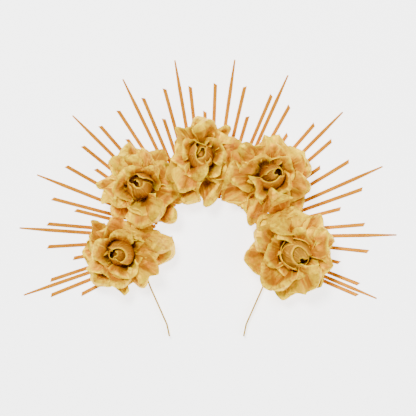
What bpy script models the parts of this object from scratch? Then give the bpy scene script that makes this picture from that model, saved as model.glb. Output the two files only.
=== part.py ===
"""Rose headband: a spring-metal strip, a fan of plastic straps looped round it, and five roses.

It lies on its back: +Z points away from the head towards the viewer, +Y to the crown's top and
+X to the right. The origin is under the middle of the whole outline. All lengths are in metres.
"""

import math
from collections import namedtuple

import bmesh
import bpy
from mathutils import Matrix, Vector

# Strip: a flat metal band that stands on edge
STRIP_THICKNESS = 0.0011
STRIP_HEIGHT = 0.005
CROWN_RADIUS = 0.0627
CROWN_ANGLE = math.radians(60.0)
SIDE_RADIUS = 0.0729
SIDE_ANGLE = math.radians(54.0)
LEG_LENGTH = 0.0404
END_LENGTH = 0.0126
END_TURN = math.radians(12.0)
STRIP_STEP = 0.010
SHARP_ANGLE = math.radians(40.0)
WELD_DISTANCE = 0.000001

# Spikes: plastic straps, each with a loop round the strip, a head and a tail
SPIKE_SETS = 12
SPIKES_IN_A_SET = 4
STRAP_WIDTH = 0.0028
STRAP_THICKNESS = 0.0011
SHORT_LENGTH = 0.084
MEDIUM_LENGTH = 0.112
LONG_LENGTH = 0.139
POINT_WIDTH = 0.0013
POINT_LENGTH = 0.036
CUT_ANGLE = math.radians(50.0)
HEAD_WIDTH = 0.0041
HEAD_LENGTH = 0.004
HEAD_HEIGHT = 0.0045
HEAD_SLOPE = 0.0006
HEAD_SPACING = 0.00036
LOOP_CLEARANCE = 0.0003

# Roses
ROSE_RADIUS = 0.045
ROSE_HEIGHT = 0.045
PETAL_THICKNESS = 0.0012
BASE_RADIUS = 0.010
NECK_RADIUS = 0.0085
SEAT_RADIUS = 0.006
BUD_RADIUS = 0.0138
BUD_GAP = 0.0018
SEAT_CLEARANCE = 0.0003
SEAM_CLEARANCE = 0.0002
SEAM_SOFTNESS = 0.002
FLOOR_SOFTNESS = 0.001
BUD_SOFTNESS = 0.002
SEAM_HEIGHT = 0.018
SEAM_REACH = 0.006
SEAM_LIFT = 0.004
SEAM_LIFT_REACH = 0.014
BUD_SEAT = 0.44
BUD_ROLL_STEP = 0.08
BUD_ROLL_TWIST = 0.3
BUD_MOUTH_DEPTH = 0.22
BUD_MOUTH_CURVE = 6
BUD_LEAN = 0.12
NOTCH_CURVE = 1.3
FOLDS = 3
FINE_FOLDS = 7
FINE_FOLD_SHARE = 0.6
ROSE_PHASE = 1.3
RING_PHASE = 2.1
COLUMNS = 36
SPINE_STEPS = 12
BUD_SIDES = 12
BUD_BANDS = 8

# Each set of four spikes, from the lower left over the top to the lower right. A lean is in
# degrees from square to the strip, and a length is a share of the length of that kind.
SpikeSet = namedtuple("SpikeSet", "short_lean second_lean long_lean fourth_lean "
                                  "short_length second_length long_length fourth_length")
SPIKE_TABLE = (
    SpikeSet(24.9, 23.0, 23.6, 26.4, 0.84, 0.91, 0.93, 0.90),
    SpikeSet(22.0, 18.4, 14.5, 17.0, 0.88, 0.90, 0.94, 0.93),
    SpikeSet(11.4, 14.3, 11.4, 7.4, 0.94, 0.95, 0.93, 0.96),
    SpikeSet(5.9, 6.1, 4.5, 4.4, 0.96, 0.95, 0.97, 0.97),
    SpikeSet(3.1, 4.6, 1.4, 2.5, 0.96, 0.99, 0.98, 0.99),
    SpikeSet(2.0, 3.1, 1.6, 2.4, 0.99, 1.01, 1.00, 0.99),
    SpikeSet(1.2, 1.8, -0.1, -0.9, 1.00, 1.01, 1.00, 1.02),
    SpikeSet(-0.3, -2.7, 0.2, -0.8, 1.01, 1.02, 1.00, 1.00),
    SpikeSet(-2.0, -4.4, -4.1, -4.2, 1.02, 0.99, 1.00, 0.99),
    SpikeSet(-6.0, -5.7, -9.1, -9.5, 1.00, 1.00, 1.00, 0.99),
    SpikeSet(-11.0, -17.4, -17.7, -21.1, 0.98, 0.92, 0.96, 0.93),
    SpikeSet(-25.7, -29.5, -27.3, -24.1, 0.89, 0.88, 0.85, 0.87),
)

# Numbers of the spikes whose cut end slants the other way
SPIKES_CUT_THE_OTHER_WAY = (28, 29)

# Rings of petals. The root's height is a share of the rose's height. Inclines are degrees above
# level at equal steps from root to tip, and stops are the shares of that way where the sheet has
# a row of points. A notch is the reach between two petals as a share of their own, a wave is the
# depth of the folds as a share of the rose's radius, and hook is how far a tip hangs.
Ring = namedtuple("Ring", "root inclines stops notch wave hook")
RINGS = {
    "outer": Ring(0.26, (14, 18, 14, 0), (0.5, 1.0), 0.80, 0.045, 0.05),
    "middle": Ring(0.33, (44, 40, 22, -8), (0.4, 0.75, 1.0), 0.78, 0.040, 0.04),
    "inner": Ring(0.40, (15, 55, 88, 40, -15), (0.3, 0.6, 1.0), 0.86, 0.015, 0.02),
}

# Petals. A turn is in degrees, 0 to the right and 90 to the top, and the tip's reach is a share
# of the rose's radius.
Petal = namedtuple("Petal", "turn reach")
Rose = namedtuple("Rose", "spike outward opening outer middle inner")
ROSE_TABLE = (
    Rose(
        spike=-22.0, outward=0.56, opening=190,
        outer=(Petal(2, 1.20), Petal(64, 1.00), Petal(134, 1.04), Petal(178, 0.92),
               Petal(224, 1.00), Petal(305, 0.98)),
        middle=(Petal(30, 1.04), Petal(98, 0.94), Petal(150, 0.84), Petal(204, 0.90),
                Petal(262, 0.96), Petal(332, 1.02)),
        inner=(Petal(24, 0.60), Petal(102, 0.58), Petal(184, 0.66), Petal(290, 0.62)),
    ),
    Rose(
        spike=-10.7, outward=0.80, opening=135,
        outer=(Petal(12, 1.06), Petal(60, 1.06), Petal(112, 1.02), Petal(178, 1.09),
               Petal(232, 1.00), Petal(316, 1.16)),
        middle=(Petal(36, 0.90), Petal(88, 0.90), Petal(136, 0.96), Petal(204, 1.02),
                Petal(272, 0.96), Petal(345, 0.92)),
        inner=(Petal(42, 0.60), Petal(116, 0.56), Petal(186, 0.66), Petal(276, 0.68)),
    ),
    Rose(
        spike=-0.7, outward=0.90, opening=85,
        outer=(Petal(2, 1.04), Petal(46, 1.00), Petal(98, 0.96), Petal(150, 0.94),
               Petal(208, 1.04), Petal(266, 1.18)),
        middle=(Petal(-36, 0.92), Petal(22, 1.02), Petal(76, 0.92), Petal(134, 0.92),
                Petal(184, 0.90), Petal(236, 0.98)),
        inner=(Petal(-44, 0.60), Petal(36, 0.58), Petal(132, 0.56), Petal(226, 0.60)),
    ),
    Rose(
        spike=9.5, outward=0.97, opening=30,
        outer=(Petal(5, 0.96), Petal(78, 0.98), Petal(150, 1.10), Petal(204, 1.30),
               Petal(256, 1.12), Petal(312, 1.08)),
        middle=(Petal(-22, 0.96), Petal(34, 0.96), Petal(98, 0.96), Petal(132, 1.00),
                Petal(186, 0.98), Petal(282, 1.08)),
        inner=(Petal(-36, 0.56), Petal(42, 0.60), Petal(152, 0.66), Petal(246, 0.62)),
    ),
    Rose(
        spike=22.2, outward=0.63, opening=320,
        outer=(Petal(18, 0.96), Petal(58, 1.10), Petal(118, 1.12), Petal(186, 1.20),
               Petal(252, 1.10), Petal(308, 0.96)),
        middle=(Petal(-16, 0.90), Petal(38, 0.92), Petal(92, 0.94), Petal(150, 1.10),
                Petal(222, 1.06), Petal(282, 0.96)),
        inner=(Petal(-24, 0.58), Petal(76, 0.64), Petal(176, 0.74), Petal(262, 0.62)),
    ),
)

# Seams between neighbouring roses: how far along the line between the two it lies, its turn from
# square to that line in degrees, and its slope. A positive slope lays the first rose on top.
Seam = namedtuple("Seam", "share turn slope")
SEAM_TABLE = (
    Seam(0.49, 0, -0.9),
    Seam(0.50, 8, -0.9),
    Seam(0.51, 6, -1.0),
    Seam(0.50, 0, -1.0),
)

# Colours
METAL_COLOUR = (0.50, 0.35, 0.13, 1.0)
PLASTIC_COLOUR = (0.86, 0.30, 0.03, 1.0)
PETAL_COLOUR = (0.85, 0.50, 0.10, 1.0)
BUD_COLOUR = (0.74, 0.36, 0.05, 1.0)

# Values that follow from the sizes above
STRIP_HALF = CROWN_RADIUS * CROWN_ANGLE + SIDE_RADIUS * SIDE_ANGLE + LEG_LENGTH + END_LENGTH
SPIKES = SPIKES_IN_A_SET * SPIKE_SETS
SPIKE_PITCH = HEAD_WIDTH + HEAD_SPACING
STRIP_BOTTOM = STRAP_THICKNESS + LOOP_CLEARANCE
LOOP_TOP = STRIP_BOTTOM + STRIP_HEIGHT + LOOP_CLEARANCE + STRAP_THICKNESS
LOOP_INSIDE = STRIP_THICKNESS / 2 + LOOP_CLEARANCE
LOOP_OUTSIDE = LOOP_INSIDE + STRAP_THICKNESS
HEAD_START = LOOP_OUTSIDE + HEAD_SLOPE
HEAD_END = LOOP_INSIDE + HEAD_LENGTH
TAIL_START = HEAD_END + HEAD_SLOPE
ROSE_BOTTOM = STRAP_THICKNESS + SEAT_CLEARANCE
PETAL_FLOOR = LOOP_TOP + SEAT_CLEARANCE + PETAL_THICKNESS / 2
BUD_BOTTOM = BUD_SEAT * ROSE_HEIGHT
BUD_MIDDLE = (BUD_BOTTOM + ROSE_HEIGHT) / 2
BUD_HALF_HEIGHT = (ROSE_HEIGHT - BUD_BOTTOM) / 2


def clear_scene():
    """Remove what the file holds."""
    for thing in list(bpy.data.objects):
        bpy.data.objects.remove(thing, do_unlink=True)


def new_collection(name):
    """Make a collection in the scene."""
    collection = bpy.data.collections.new(name)
    bpy.context.scene.collection.children.link(collection)
    return collection


def new_material(name, colour, roughness, metallic):
    """Make a plain surface."""
    material = bpy.data.materials.new(name)
    material.use_nodes = True
    shader = material.node_tree.nodes["Principled BSDF"]
    shader.inputs["Base Color"].default_value = colour
    shader.inputs["Roughness"].default_value = roughness
    shader.inputs["Metallic"].default_value = metallic
    return material


def add_part(name, mesh, material):
    """Make a named piece that hangs on the crown's empty."""
    piece = bpy.data.objects.new(name, mesh)
    mesh.materials.append(material)
    parts.objects.link(piece)
    piece.parent = crown
    return piece


def outline_mesh(name, outlines, thickness):
    """Extrude a closed outline, with any others in it as holes, about its own plane."""
    curve = bpy.data.curves.new(name, "CURVE")
    curve.dimensions = "2D"
    curve.fill_mode = "BOTH"
    curve.extrude = thickness / 2
    for outline in outlines:
        spline = curve.splines.new("POLY")
        spline.points.add(len(outline) - 1)
        for point, (x, y) in zip(spline.points, outline):
            point.co = (x, y, 0.0, 1.0)
        spline.use_cyclic_u = True
    holder = bpy.data.objects.new(name, curve)
    bpy.context.scene.collection.objects.link(holder)
    graph = bpy.context.evaluated_depsgraph_get()
    mesh = bpy.data.meshes.new_from_object(holder.evaluated_get(graph))
    bpy.data.objects.remove(holder, do_unlink=True)
    bpy.data.curves.remove(curve)
    work = bmesh.new()
    work.from_mesh(mesh)
    bmesh.ops.remove_doubles(work, verts=work.verts, dist=WELD_DISTANCE)
    work.to_mesh(mesh)
    work.free()
    mesh.name = name
    return mesh


def kept_above(value, limit, softness):
    """Slow a value down as it falls towards a limit, so that it never passes the limit."""
    spare = value - limit - softness
    if spare >= 0:
        return value
    return limit + softness * math.exp(spare / softness)


def strip_point(distance):
    """Give the strip's middle line, and its outward angle, at a distance from the crown's top."""
    side = 1.0 if distance >= 0 else -1.0
    left = abs(distance)
    place = Vector((0.0, 0.0))
    heading = 0.0
    runs = (
        (CROWN_RADIUS * CROWN_ANGLE, CROWN_ANGLE),
        (SIDE_RADIUS * SIDE_ANGLE, SIDE_ANGLE),
        (LEG_LENGTH, 0.0),
        (0.0, -END_TURN),
        (END_LENGTH, 0.0),
    )
    for length, turn in runs:
        step = min(left, length)
        part_turn = turn * step / length if length else turn
        if left <= 0.0:
            break
        if part_turn and step:
            radius = step / part_turn
            place += radius * Vector((math.sin(heading + part_turn) - math.sin(heading),
                                      math.cos(heading + part_turn) - math.cos(heading)))
        else:
            place += step * Vector((math.cos(heading), -math.sin(heading)))
        heading += part_turn
        left -= step
    outward = math.pi / 2 - heading
    if side < 0:
        return Vector((-place.x, place.y)), math.pi - outward
    return place, outward


def build_strip(metal):
    """Build the strip as a standing ribbon with a thickness."""
    steps = round(STRIP_HALF / STRIP_STEP)
    corner = STRIP_HALF - END_LENGTH
    half = sorted({STRIP_HALF * step / steps for step in range(steps + 1)} | {corner})
    distances = [-distance for distance in reversed(half[1:])] + half
    work = bmesh.new()
    low = []
    high = []
    for distance in distances:
        place, _ = strip_point(distance)
        low.append(work.verts.new((place.x, place.y, STRIP_BOTTOM)))
        high.append(work.verts.new((place.x, place.y, STRIP_BOTTOM + STRIP_HEIGHT)))
    for index in range(len(distances) - 1):
        work.faces.new((low[index], high[index], high[index + 1], low[index + 1]))
    mesh = bpy.data.meshes.new("headband")
    work.to_mesh(mesh)
    work.free()
    piece = add_part("headband", mesh, metal)
    wall = piece.modifiers.new("strip thickness", "SOLIDIFY")
    wall.thickness = STRIP_THICKNESS
    wall.offset = 0.0
    wall.use_even_offset = True
    mesh.shade_smooth()
    mesh.set_sharp_from_angle(angle=SHARP_ANGLE)
    return piece


def spike_kind(position):
    """Give a spike's lean and length, and whether it is one of the long uncut ones."""
    row = SPIKE_TABLE[position // SPIKES_IN_A_SET]
    return (
        (row.short_lean, row.short_length * SHORT_LENGTH, False),
        (row.second_lean, row.second_length * MEDIUM_LENGTH, False),
        (row.long_lean, row.long_length * LONG_LENGTH, True),
        (row.fourth_lean, row.fourth_length * MEDIUM_LENGTH, False),
    )[position % SPIKES_IN_A_SET]


def tail_outline(position):
    """Give the corners of a spike's tail, in the frame of its own head."""
    lean, length, uncut = spike_kind(position)
    half = STRAP_WIDTH / 2
    start = half / math.cos(math.radians(lean))
    if uncut:
        tip = POINT_WIDTH / 2
        corners = [(length - POINT_LENGTH, -half), (length, -tip),
                   (length, tip), (length - POINT_LENGTH, half)]
    else:
        right_cut = STRAP_WIDTH / math.tan(CUT_ANGLE)
        left_cut = 0.0
        if position + 1 in SPIKES_CUT_THE_OTHER_WAY:
            right_cut, left_cut = left_cut, right_cut
        corners = [(length - right_cut, -half), (length - left_cut, half)]
    turn = Matrix.Rotation(math.radians(lean), 2)
    leaning = [turn @ Vector(corner) + Vector((TAIL_START, 0.0)) for corner in corners]
    return [Vector((TAIL_START, -start))] + leaning + [Vector((TAIL_START, start))]


def spike_place(position):
    """Give the place of a spike's loop on the strip, and its outward angle."""
    return strip_point((position - SPIKES / 2) * SPIKE_PITCH)


def drawn_out(work, face, corners):
    """Extrude a four-sided face to new corners: low right, low left, high left, high right."""
    grown = bmesh.ops.extrude_discrete_faces(work, faces=[face])["faces"][0]
    centre = grown.calc_center_median()
    for vertex in grown.verts:
        low = vertex.co.z < centre.z
        right = vertex.co.y < centre.y
        if low:
            vertex.co = corners[0] if right else corners[1]
        else:
            vertex.co = corners[3] if right else corners[2]
    return grown


def corners_of(right, left, low, high):
    """List the corners of an upright section between two points of an outline."""
    return [Vector((right[0], right[1], low)), Vector((left[0], left[1], low)),
            Vector((left[0], left[1], high)), Vector((right[0], right[1], high))]


def build_spike(position, plastic):
    """Build one strap: a loop round the strip, a head outside it and a tail."""
    name = f"spike_{position + 1:02d}"
    mesh = outline_mesh(name, (
        [(-LOOP_OUTSIDE, 0.0), (LOOP_OUTSIDE, 0.0), (LOOP_OUTSIDE, HEAD_HEIGHT),
         (LOOP_OUTSIDE, LOOP_TOP), (-LOOP_OUTSIDE, LOOP_TOP)],
        [(-LOOP_INSIDE, STRAP_THICKNESS), (LOOP_INSIDE, STRAP_THICKNESS),
         (LOOP_INSIDE, LOOP_TOP - STRAP_THICKNESS), (-LOOP_INSIDE, LOOP_TOP - STRAP_THICKNESS)],
    ), STRAP_WIDTH)
    mesh.transform(Matrix.Rotation(math.radians(90), 4, "X"))
    work = bmesh.new()
    work.from_mesh(mesh)
    outer_faces = [face for face in work.faces if round(face.normal.x) == 1
                   and face.calc_center_median().x > LOOP_INSIDE]
    face = min(outer_faces, key=lambda outer: outer.calc_center_median().z)
    side = HEAD_WIDTH / 2
    tail = tail_outline(position)
    sections = [
        corners_of((HEAD_START, -side), (HEAD_START, side), 0.0, HEAD_HEIGHT),
        corners_of((HEAD_END, -side), (HEAD_END, side), 0.0, HEAD_HEIGHT),
        corners_of(tail[0], tail[-1], 0.0, STRAP_THICKNESS),
    ]
    sections += [corners_of(right, left, 0.0, STRAP_THICKNESS)
                 for right, left in zip(tail[1:len(tail) // 2], reversed(tail[len(tail) // 2:-1]))]
    for section in sections:
        face = drawn_out(work, face, section)
    work.to_mesh(mesh)
    work.free()
    piece = add_part(name, mesh, plastic)
    place, outward = spike_place(position)
    piece.location = (place.x, place.y, 0.0)
    piece.rotation_euler = (0.0, 0.0, outward)
    return piece


def rose_centre(rose):
    """Give the place of a rose's axis in the plane of the strip."""
    place, outward = strip_point(rose.spike * SPIKE_PITCH)
    reach = rose.outward * ROSE_RADIUS
    return place + reach * Vector((math.cos(outward), math.sin(outward)))


def seam_limits(number):
    """List the seams beside a rose: a point, the way to the neighbour, and the slope that way."""
    limits = []
    centre = rose_centre(ROSE_TABLE[number])
    for seam_number, other in ((number - 1, number - 1), (number, number + 1)):
        if other < 0 or other >= len(ROSE_TABLE):
            continue
        seam = SEAM_TABLE[seam_number]
        away = rose_centre(ROSE_TABLE[other]) - centre
        share = seam.share if other > number else 1.0 - seam.share
        slope = seam.slope if other > number else -seam.slope
        way = Matrix.Rotation(math.radians(seam.turn), 2) @ away.normalized()
        limits.append((centre + share * away, way, slope))
    return limits


def held_back(point, limits):
    """Keep a petal's point on its own side of the seams, and lay it over or under there."""
    clearance = SEAM_CLEARANCE + PETAL_THICKNESS
    for middle, way, slope in limits:
        place = Vector((point.x, point.y))
        distance = (place - middle).dot(way)
        near = math.exp(-(min(distance, 0.0) / SEAM_LIFT_REACH) ** 2)
        height = point.z + math.copysign(SEAM_LIFT, slope) * near
        height = kept_above(height, PETAL_FLOOR, FLOOR_SOFTNESS)
        rise = max(-SEAM_REACH, min(SEAM_REACH, height - SEAM_HEIGHT))
        spare = slope * rise - distance
        place += (spare - kept_above(spare, clearance, SEAM_SOFTNESS)) * way
        point = Vector((place.x, place.y, height))
    return point


def bud_radius(height):
    """Give the bud's radius at a height above the ground."""
    share = (height - BUD_MIDDLE) / BUD_HALF_HEIGHT
    if abs(share) >= 1.0:
        return 0.0
    return BUD_RADIUS * math.sqrt(1.0 - share * share)


def spine_point(ring, reach, along):
    """Give radius, height and incline at a share of the way along a petal's middle."""
    wanted_step = round(along * SPINE_STEPS)
    across = 0.0
    up = 0.0
    wanted = None
    for step in range(1, SPINE_STEPS + 1):
        position = (step - 0.5) / SPINE_STEPS * (len(ring.inclines) - 1)
        index = int(position)
        share = position - index
        degrees = (1 - share) * ring.inclines[index] + share * ring.inclines[index + 1]
        incline = math.radians(degrees)
        across += math.cos(incline)
        up += math.sin(incline)
        if step == wanted_step:
            wanted = (across, up, incline)
    scale = (reach - NECK_RADIUS) / across
    return (NECK_RADIUS + scale * wanted[0], ring.root * ROSE_HEIGHT + scale * wanted[1],
            wanted[2])


def petal_column(petals, column):
    """Give a column's angle, the reaches of its two petals and how far aside of the first it is."""
    columns = COLUMNS // len(petals)
    index = column // columns
    aside = 2 * (column % columns) / columns - 1
    petal = petals[index]
    step = 1 if aside >= 0 else -1
    other = petals[(index + step) % len(petals)]
    gap = (step * (other.turn - petal.turn)) % 360
    return math.radians(petal.turn + aside * gap / 2), petal.reach, other.reach, aside


def sheet_row(ring, petals, along, side, phase, centre, limits):
    """List the points of one row round a ring of petals, on its lower or upper side."""
    row = []
    for column in range(COLUMNS):
        angle, own, other, aside = petal_column(petals, column)
        notch = ring.notch * (own + other) / 2
        reach = (own + (notch - own) * abs(aside) ** NOTCH_CURVE) * ROSE_RADIUS
        radius, height, incline = spine_point(ring, reach, along)
        folds = math.sin(FOLDS * angle + phase)
        folds += FINE_FOLD_SHARE * math.sin(FINE_FOLDS * angle + 2 * phase)
        height += ring.wave * ROSE_RADIUS * along ** 2 * folds
        height -= ring.hook * ROSE_RADIUS * along ** 3 * (1 - abs(aside))
        height = kept_above(height, PETAL_FLOOR, FLOOR_SOFTNESS)
        if height > BUD_BOTTOM - BUD_GAP:
            free = bud_radius(height) + BUD_GAP + PETAL_THICKNESS / 2
            radius = kept_above(radius, free, BUD_SOFTNESS)
        point = held_back(Vector((centre.x + radius * math.cos(angle),
                                  centre.y + radius * math.sin(angle), height)), limits)
        offset = side * PETAL_THICKNESS / 2
        row.append(point + offset * Vector((-math.sin(incline) * math.cos(angle),
                                            -math.sin(incline) * math.sin(angle),
                                            math.cos(incline))))
    return row


def round_row(radius, height, petals, centre):
    """List the points of a plain round row, on the same angles as a ring's columns."""
    angles = [petal_column(petals, column)[0] for column in range(COLUMNS)]
    return [Vector((centre.x + radius * math.cos(angle), centre.y + radius * math.sin(angle),
                    height)) for angle in angles]


def build_petals(number, cloth):
    """Loft a rose's base and its rings of petals through rows of points, as one closed skin."""
    rose = ROSE_TABLE[number]
    name = f"rose_{number + 1}_petals"
    centre = rose_centre(rose)
    limits = seam_limits(number)
    rings = (("outer", rose.outer), ("middle", rose.middle), ("inner", rose.inner))
    seat = BUD_BOTTOM - SEAT_CLEARANCE
    rows = [round_row(BASE_RADIUS, ROSE_BOTTOM, rose.outer, centre)]
    for place, (ring_name, petals) in enumerate(rings):
        ring = RINGS[ring_name]
        phase = ROSE_PHASE * number + RING_PHASE * place
        low = [sheet_row(ring, petals, along, -1, phase, centre, limits) for along in ring.stops]
        high = [sheet_row(ring, petals, along, 1, phase, centre, limits) for along in ring.stops]
        if place:
            root = ring.root * ROSE_HEIGHT
            rows.append(round_row(NECK_RADIUS, root, petals, centre))
        rows += low + high[::-1]
    rows.append(round_row(SEAT_RADIUS, seat, rose.inner, centre))
    work = bmesh.new()
    rings_of_vertices = [[work.verts.new(point) for point in row] for row in rows]
    for lower, upper in zip(rings_of_vertices, rings_of_vertices[1:]):
        for column, vertex in enumerate(lower):
            after = (column + 1) % len(lower)
            work.faces.new((vertex, lower[after], upper[after], upper[column]))
    work.faces.new(rings_of_vertices[0][::-1])
    work.faces.new(rings_of_vertices[-1])
    mesh = bpy.data.meshes.new(name)
    work.to_mesh(mesh)
    work.free()
    return add_part(name, mesh, cloth)


def build_bud(number, cloth):
    """Build a rose's rolled bud, open at one side of its top."""
    rose = ROSE_TABLE[number]
    name = f"rose_{number + 1}_bud"
    centre = rose_centre(rose)
    opening = math.radians(rose.opening)
    work = bmesh.new()
    bmesh.ops.create_uvsphere(work, u_segments=BUD_SIDES, v_segments=BUD_BANDS, radius=1.0)
    for vertex in work.verts:
        unit = vertex.co.copy()
        turn = math.atan2(unit.y, unit.x)
        roll = ((turn - opening) / math.tau + BUD_ROLL_TWIST * unit.z) % 1.0
        wide = BUD_RADIUS * (1 - BUD_ROLL_STEP * roll)
        top_share = max(0.0, unit.z)
        lean = BUD_LEAN * BUD_RADIUS * top_share
        mouth = BUD_MOUTH_DEPTH * BUD_HALF_HEIGHT * top_share ** BUD_MOUTH_CURVE
        vertex.co = Vector((
            centre.x + wide * unit.x + lean * math.cos(opening),
            centre.y + wide * unit.y + lean * math.sin(opening),
            BUD_MIDDLE + BUD_HALF_HEIGHT * unit.z - mouth,
        ))
    mesh = bpy.data.meshes.new(name)
    work.to_mesh(mesh)
    work.free()
    mesh.shade_smooth()
    return add_part(name, mesh, cloth)


def outline_middle():
    """Give the middle of the whole outline, from the tips of the spikes and of the strip."""
    points = [strip_point(side * STRIP_HALF)[0] for side in (-1, 1)]
    for position in range(SPIKES):
        place, outward = spike_place(position)
        turn = Matrix.Rotation(outward, 2)
        points += [place + turn @ corner for corner in tail_outline(position)]
    across = [point.x for point in points]
    along = [point.y for point in points]
    return Vector(((min(across) + max(across)) / 2, (min(along) + max(along)) / 2))


clear_scene()
parts = new_collection("rose_headband")
crown = bpy.data.objects.new("crown", None)
parts.objects.link(crown)
middle_of_outline = outline_middle()
crown.location = (-middle_of_outline.x, -middle_of_outline.y, 0.0)

metal = new_material("band_metal", METAL_COLOUR, 0.35, 0.9)
plastic = new_material("spike_plastic", PLASTIC_COLOUR, 0.45, 0.0)
petal_cloth = new_material("petal_cloth", PETAL_COLOUR, 0.55, 0.2)
bud_cloth = new_material("bud_cloth", BUD_COLOUR, 0.55, 0.2)

build_strip(metal)
for spike_position in range(SPIKES):
    build_spike(spike_position, plastic)
for rose_number in range(len(ROSE_TABLE)):
    build_petals(rose_number, petal_cloth)
    build_bud(rose_number, bud_cloth)
bpy.context.view_layer.update()
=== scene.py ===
"""Looks of the rose headband: fine petals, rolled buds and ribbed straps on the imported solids.

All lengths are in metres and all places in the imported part's own frame: +Z towards the viewer,
+Y to the crown's top and +X to the right.
"""

import math
from collections import namedtuple

import bpy
import numpy as np
from mathutils import Matrix, Vector


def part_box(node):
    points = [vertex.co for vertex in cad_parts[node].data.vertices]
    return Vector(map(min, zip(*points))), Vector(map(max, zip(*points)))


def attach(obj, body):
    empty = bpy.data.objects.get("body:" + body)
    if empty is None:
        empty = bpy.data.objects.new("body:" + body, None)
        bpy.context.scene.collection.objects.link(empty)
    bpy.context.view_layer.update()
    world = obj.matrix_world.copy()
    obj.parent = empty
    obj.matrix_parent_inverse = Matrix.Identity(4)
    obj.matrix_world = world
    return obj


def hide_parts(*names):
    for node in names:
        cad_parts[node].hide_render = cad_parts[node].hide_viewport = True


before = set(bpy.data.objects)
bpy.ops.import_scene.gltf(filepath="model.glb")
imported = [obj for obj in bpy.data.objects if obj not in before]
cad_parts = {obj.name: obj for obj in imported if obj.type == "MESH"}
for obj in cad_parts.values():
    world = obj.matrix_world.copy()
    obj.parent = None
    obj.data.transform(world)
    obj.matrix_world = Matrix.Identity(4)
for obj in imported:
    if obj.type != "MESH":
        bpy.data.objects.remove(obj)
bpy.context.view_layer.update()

# Strip
STRIP_THICKNESS = 0.0011
STRIP_HEIGHT = 0.005
CROWN_RADIUS = 0.0627
CROWN_ANGLE = math.radians(60.0)
SIDE_RADIUS = 0.0729
SIDE_ANGLE = math.radians(54.0)
LEG_LENGTH = 0.0404
END_LENGTH = 0.0126
END_TURN = math.radians(12.0)
SHOWN_THICKNESS = 0.0016
STRIP_ROUNDING = 0.0005
STRIP_STEPS = 181

# Spikes
SPIKE_SETS = 12
SPIKES_IN_A_SET = 4
STRAP_WIDTH = 0.0028
STRAP_THICKNESS = 0.0011
SHORT_LENGTH = 0.084
MEDIUM_LENGTH = 0.112
LONG_LENGTH = 0.139
POINT_WIDTH = 0.0015
POINT_LENGTH = 0.030
CUT_ANGLE = math.radians(50.0)
HEAD_WIDTH = 0.0041
HEAD_LENGTH = 0.004
HEAD_HEIGHT = 0.0045
HEAD_SPACING = 0.00036
LOOP_CLEARANCE = 0.0003
SHOWN_WIDTH = 0.0038
RIB_PITCH = 0.0013
RIB_DEPTH = 0.00022
RIB_RISE = 0.85
EDGE_DROP = 0.00015
CUT_REACH = 0.006
CORNER_CUT = 0.0004
LOOP_BEND = 0.0000275

# Corners of a tail's ribbed section, as shares of half its width
TAIL_CORNERS = (-1.0, -1.0, -0.88, -0.68, -0.64, 0.64, 0.68, 0.88, 1.0, 1.0)

# Roses
ROSE_RADIUS = 0.045
ROSE_HEIGHT = 0.045
NECK_RADIUS = 0.0085
BASE_RADIUS = 0.010
BUD_RADIUS = 0.0138
BUD_SEAT = 0.44
SEAT_CLEARANCE = 0.0003
SEAT_RADIUS = 0.006
SEAM_HEIGHT = 0.018
SEAM_CLEARANCE = 0.0006
SEAM_SLOPE = 0.6
SEAM_STEEP_SLOPE = 2.4
SEAM_STEEP_FROM = 0.006
SEAM_SOFTNESS = 0.0015
SEAM_FREE = 0.005
SEAM_SLACK = 0.007

# Edges of the straps and the strip that turn by more than this are shaded sharp
SHARP_ANGLE = math.radians(35.0)

# Fine petals
PETAL_COLUMNS = 45
PETAL_ROWS = 36
SHEET_THICKNESS = 0.0005
NOTCH_CURVE = 1.4
NOTCH_CURVE_RANGE = (0.75, 1.4)
TIP_SHARE = 0.09
TIP_WIDTH = 0.34
ROOT_SPREAD = 0.72
FOLD_SCALE = 0.0012
CREASES = 5
CREASE_SLOPE = 0.28
CREASE_LEAST = 0.3
CREASE_SPREAD = 0.6
CREASE_ANGLE = math.radians(13.0)
RIPPLE_WAVES = 14
RIPPLE_RANGE = (0.7, 1.4)
BASE_SIDES = 32

# How quickly each part of a petal's shape sets in from its root
CUP_ONSET = 2.0
TILT_ONSET = 1.5
WAVE_ONSET = 1.3
SPREAD_ONSET = 1.6
FOLD_ONSET = 1.4

# Waves across a petal, counted in half turns from its middle to its side
WAVE_RANGE = (0.9, 1.6)
SECOND_WAVE = 2.7
SECOND_WAVE_SHARE = 0.6
ROLL_WAVE = 0.8
ROLL_LEVEL = 0.55
ROLL_SWING = 0.65

# Crumples, each with its height and its size
PETAL_CRUMPLES = ((0.0005, 0.021), (0.0002, 0.007))
BUD_CRUMPLE = (0.0003, 0.009)

# Pale rims painted as highlights, each with where it starts and how long it takes to be full
TIP_RIM = (0.86, 0.12)
SIDE_RIM = (0.90, 0.10)
BUD_TIP_RIM = (0.86, 0.10)
BUD_SIDE_RIM = (0.93, 0.07)

# Rolled buds, with their angles in degrees
BUD_COLUMNS = 56
BUD_ROWS = 18
BUD_WRAP = 112
BUD_WRAP_LOSS = 20
BUD_LAYER_TURN = 137
BUD_INNER_RIM = 10.0
BUD_RIM_CURVE = 0.8
BUD_RIM_DROP = 0.75
BUD_RIM_SKEW = 0.15
BUD_SLIT = 0.45
BUD_LAYER_DEPTH = 80
BUD_LOWEST = 165
BUD_TIGHTENING = 0.22
BUD_OVERLAP = 0.045
BUD_FLARE = 0.055
BUD_FLARE_BAND = (0.72, 0.22)
BUD_LIP = 0.02
BUD_LIP_BAND = (0.94, 0.06)
BUD_CORE = 0.60
BUD_CORE_LOWEST = 170
BUD_CORE_HIGHEST = 8
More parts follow.
